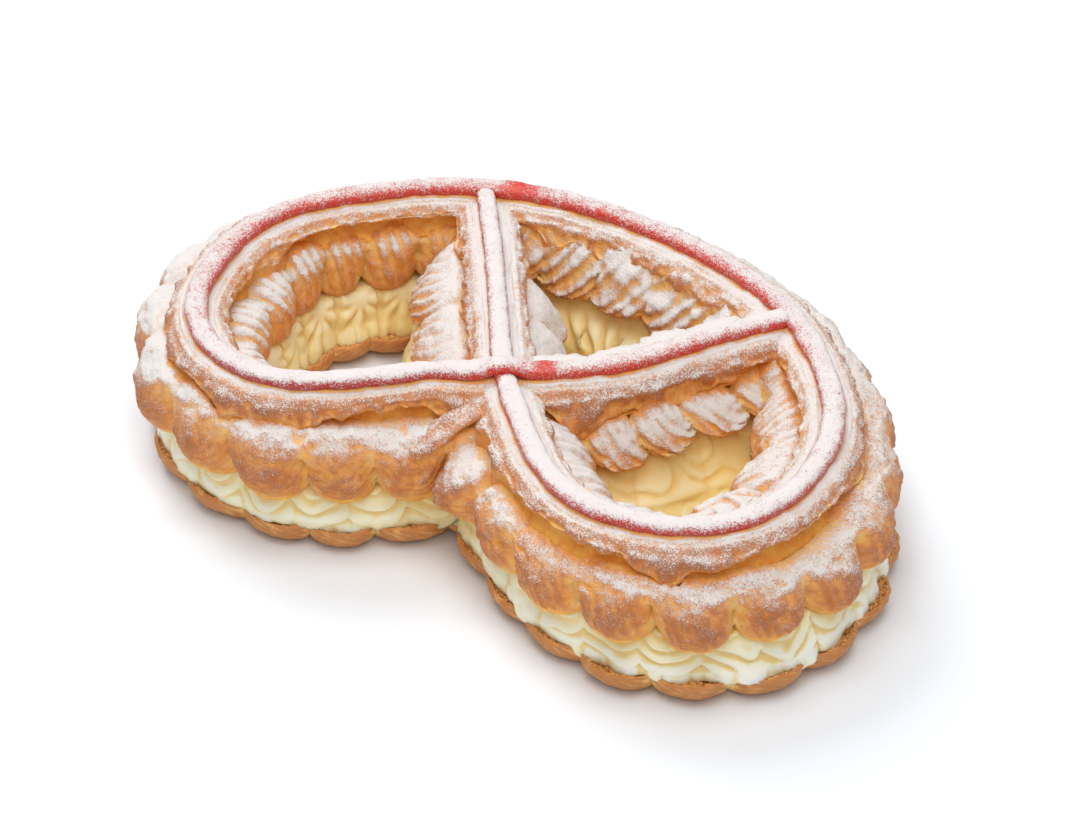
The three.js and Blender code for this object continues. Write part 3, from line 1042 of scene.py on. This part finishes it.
def sugared_choux():
    """Choux pastry, glazed with egg, baked and dusted with icing sugar.

    The crust is golden, browner where it bulges into the heat and paler in the clefts. It is painted paler
    where little sky reaches, partly as sheltered dough that browns less and partly as painted light in the
    hollows. It is darker on the strand's flanks, where it browned, and on the shells' lower halves, as
    painted shade. Torn skin shows the moist yellow inside. The sugar is almost pure white and matt.
    """
    made, tree, shader, place = finish(
        "sugared_choux_pastry", Roughness=0.55, IOR=1.45, Subsurface_Weight=0.1, Subsurface_Scale=0.003,
        Subsurface_Radius=(1.0, 0.7, 0.4))
    bulge, swelling, inside, toast_and_shade, sky = (
        add(tree, "Attribute", output="Fac", attribute_name=name)
        for name in ("bulge", "swelling", "inside", "toast_and_shade", "sky"))
    browning = add(tree, "TexNoise", {"Vector": place, "Scale": per(9.0), "Detail": 5.0})
    browning = add(tree, "Math", {0: browning, 1: 0.24, 2: 0.125}, operation="MULTIPLY_ADD")
    # Painted light and shade: the sky mark leaves the crust paler where little sky reaches, partly as
    # sheltered dough that browns less and partly as painted light in the hollows; the toasting mark adds
    # painted shade on the shells' lower halves and real browning on the strand.
    for cause, share in ((bulge, 0.09), (swelling, 0.16), (toast_and_shade, 0.2), (sky, 0.26)):
        browning = add(tree, "Math", {0: cause, 1: share, 2: browning}, operation="MULTIPLY_ADD")
    crust = add(tree, "ValToRGB", {0: browning}, stops=(
        (0.1, "#ffd580"), (0.32, "#fbbd64"), (0.5, "#ee9f4c"), (0.66, "#d27e38"), (0.9, "#a55c2b")))
    freckles = add(tree, "TexNoise", {"Vector": place, "Scale": per(1.1), "Detail": 3.0})
    freckles = add(tree, "MapRange", {"Value": freckles, "From Min": 0.52, "From Max": 0.7, "To Max": 0.25})
    crust = add(tree, "Mix", {0: freckles, 6: crust, 7: "#b8713a"}, output=2, data_type="RGBA")
    strands = add(tree, "TexNoise", {"Vector": place, "Scale": per(5.0), "Detail": 3.0})
    skin = add(tree, "ValToRGB", {0: strands}, stops=((0.35, "#ffc35a"), (0.65, "#f09a38")))
    colour = add(tree, "Mix", {0: inside, 6: crust, 7: skin}, output=2, data_type="RGBA")
    clear = add(tree, "MapRange", {
        "Value": inside, "From Min": 0.25, "From Max": 0.75, "To Min": 1.0, "To Max": 0.1})
    sugar = add(tree, "Math", {0: sugar_cover(tree, place, 0.15, 0.0), 1: clear}, operation="MULTIPLY")
    colour = add(tree, "Mix", {0: sugar, 6: colour, 7: "#e3dedb"}, output=2, data_type="RGBA")
    dull = add(tree, "MapRange", {"Value": sugar, "To Min": 0.5, "To Max": 0.92})
    crackle = add(tree, "TexNoise", {"Vector": place, "Scale": per(1.1), "Detail": 4.0})
    relief = add(tree, "Math", {0: sugar, 1: 0.25, 2: crackle}, operation="MULTIPLY_ADD")
    relief = add(tree, "Bump", {"Strength": 1.0, "Distance": 0.7 * MM, "Height": relief})
    link(tree, shader, Base_Color=colour, Roughness=dull, Normal=relief)
    return made


def baked_choux():
    """The cut lower half: the same pastry without sugar, with a porous crumb on its cut face."""
    made, tree, shader, place = finish(
        "baked_choux_pastry", Roughness=0.5, IOR=1.45, Subsurface_Weight=0.12, Subsurface_Scale=0.003)
    bulge, swelling, inside = (
        add(tree, "Attribute", output="Fac", attribute_name=name)
        for name in ("bulge", "swelling", "inside"))
    browning = add(tree, "TexNoise", {"Vector": place, "Scale": per(7.0), "Detail": 5.0})
    for cause, share in ((bulge, 0.22), (swelling, 0.2)):
        browning = add(tree, "Math", {0: cause, 1: share, 2: browning}, operation="MULTIPLY_ADD")
    crust = add(tree, "ValToRGB", {0: browning}, stops=(
        (0.15, "#ffdf9c"), (0.4, "#f8c67e"), (0.58, "#e6a860"), (0.85, "#c78448")))
    pores = add(tree, "TexNoise", {"Vector": place, "Scale": per(1.2), "Detail": 3.0})
    crumb = add(tree, "ValToRGB", {0: pores}, stops=((0.4, "#8f5426"), (0.55, "#e0a864")))
    colour = add(tree, "Mix", {0: inside, 6: crust, 7: crumb}, output=2, data_type="RGBA")
    crackle = add(tree, "TexNoise", {"Vector": place, "Scale": per(1.3), "Detail": 4.0})
    relief = add(tree, "Bump", {"Strength": 1.0, "Distance": 0.35 * MM, "Height": crackle})
    link(tree, shader, Base_Color=colour, Normal=relief)
    return made


def whipped_cream():
    """Whipped cream with vanilla, piped with a star nozzle: soft, a little moist, and lit deep inside."""
    made, tree, shader, place = finish(
        "whipped_cream", Roughness=0.42, IOR=1.4, Subsurface_Weight=0.85, Subsurface_Scale=0.005,
        Subsurface_Radius=(1.0, 0.8, 0.5))
    bulge, sky = (
        add(tree, "Attribute", output="Fac", attribute_name=name)
        for name in ("bulge", "sky"))
    # Painted shade: where the cream curves inwards, in its creases and folds, it is painted a darker yellow.
    cleft = add(tree, "MapRange", {"Value": bulge, "From Min": 0.1, "From Max": -0.6, "To Max": 0.9})
    colour = add(tree, "Mix", {0: cleft, 6: "#fff9ea", 7: "#f8d68c"}, output=2, data_type="RGBA")
    # Painted bounced light: where little sky reaches, in the hollows of the loops, the cream is painted a
    # brighter, warmer yellow.
    deep = add(tree, "MapRange", {"Value": sky, "From Min": 0.6, "From Max": 0.15, "To Max": 0.9})
    colour = add(tree, "Mix", {0: deep, 6: colour, 7: "#ffe19a"}, output=2, data_type="RGBA")
    grain = add(tree, "TexNoise", {"Vector": place, "Scale": per(2.0), "Detail": 3.0})
    relief = add(tree, "Bump", {"Strength": 1.0, "Distance": 0.15 * MM, "Height": grain})
    link(tree, shader, Base_Color=colour, Normal=relief)
    return made


def red_icing():
    """Boiled red icing with sugar sieved over it: glossy where bare, and painted a darker maroon as shade
    where more sugar lies, on the stretches that face away from the light.
    """
    made, tree, shader, place = finish(
        "red_icing", Roughness=0.38, IOR=1.47, Subsurface_Weight=0.15, Subsurface_Scale=0.002)
    cover = add(tree, "Attribute", output="Fac", attribute_name="cover")
    # Painted shade: the red turns a darker maroon where the sugar mark is high, along the front stretches
    # that face away from the light.
    shade = add(tree, "MapRange", {"Value": cover, "From Min": 0.75, "From Max": 1.2})
    red = add(tree, "ValToRGB", {0: shade}, stops=((0.0, "#d63a28"), (1.0, "#a83338")))
    sugar = sugar_cover(tree, place, 0.0, 0.35)
    colour = add(tree, "Mix", {0: sugar, 6: red, 7: "#e2dbda"}, output=2, data_type="RGBA")
    dull = add(tree, "MapRange", {"Value": sugar, "To Min": 0.38, "To Max": 0.92})
    lumps = add(tree, "TexNoise", {"Vector": place, "Scale": per(2.0), "Detail": 2.0})
    relief = add(tree, "Math", {0: sugar, 1: 0.5, 2: lumps}, operation="MULTIPLY_ADD")
    relief = add(tree, "Bump", {"Strength": 1.0, "Distance": 0.4 * MM, "Height": relief})
    link(tree, shader, Base_Color=colour, Roughness=dull, Normal=relief)
    return made


for pieces, look, node, slot in (
    ([*crown, *ridge], sugared_choux(), "upper_choux", "sugared_choux"),
    (filling, whipped_cream(), "cream_filling", "whipped_cream"),
    (bottom, baked_choux(), "lower_choux", "baked_choux"),
    ([rope], red_icing(), "icing_line", "red_icing"),
):
    for piece in pieces:
        del piece["sides"]
        piece.data.materials.append(look)
        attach(piece, "root")
        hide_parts(node)


# ---------------------------------------------------------------- stage, light and camera

def direction_to(azimuth, elevation):
    azimuth, elevation = math.radians(azimuth), math.radians(elevation)
    flat = math.cos(elevation)
    return Vector((math.sin(azimuth) * flat, -math.cos(azimuth) * flat, math.sin(elevation)))


bpy.ops.mesh.primitive_plane_add(size=6, location=(0, 0, 0))
floor = bpy.context.object
floor.name = "floor"
# Uncoated white paper: matt, and a little blue.
paper, *_ = finish("white_paper", Roughness=0.9, Base_Color=linear("#eef5fd"))
floor.data.materials.append(paper)

AZIMUTH, ELEVATION, DISTANCE = 32, 38, 1.8
AIM = Vector((0, 0, 0.03))
LENS = 142.27942  # in millimetres, on a sensor 36 mm wide
bpy.ops.object.camera_add(
    location=AIM + direction_to(AZIMUTH, ELEVATION) * DISTANCE,
    rotation=(math.radians(90 - ELEVATION), 0, math.radians(AZIMUTH)))
camera = bpy.context.object
camera.data.lens = LENS
camera.data.clip_end = 20
bpy.context.scene.camera = camera

world = bpy.data.worlds.new("studio")
world.use_nodes = True
world.node_tree.nodes["Background"].inputs["Color"].default_value = (1, 1, 1, 1)
world.node_tree.nodes["Background"].inputs["Strength"].default_value = 0.39
bpy.context.scene.world = world
bpy.context.scene.view_settings.view_transform = "Standard"


SOFTBOX_DISTANCE = 2.0


def softbox(name, azimuth, elevation, size, power_watts, colour):
    """A square light that hangs in that direction from the kringle and shines on it."""
    direction = direction_to(azimuth, elevation)
    bpy.ops.object.light_add(type="AREA", location=direction * SOFTBOX_DISTANCE)
    light = bpy.context.object
    light.name = name
    light.rotation_euler = direction.to_track_quat("Z", "Y").to_euler()
    light.data.size = size
    light.data.energy = power_watts
    light.data.color = linear(colour)[:3]


softbox("window", 243, 52, 1.1, 18, "#ffffff")
softbox("overhead", 30, 80, 1.2, 16.5, "#ffffff")
softbox("front", 36, 55, 1.0, 9, "#fffaf2")
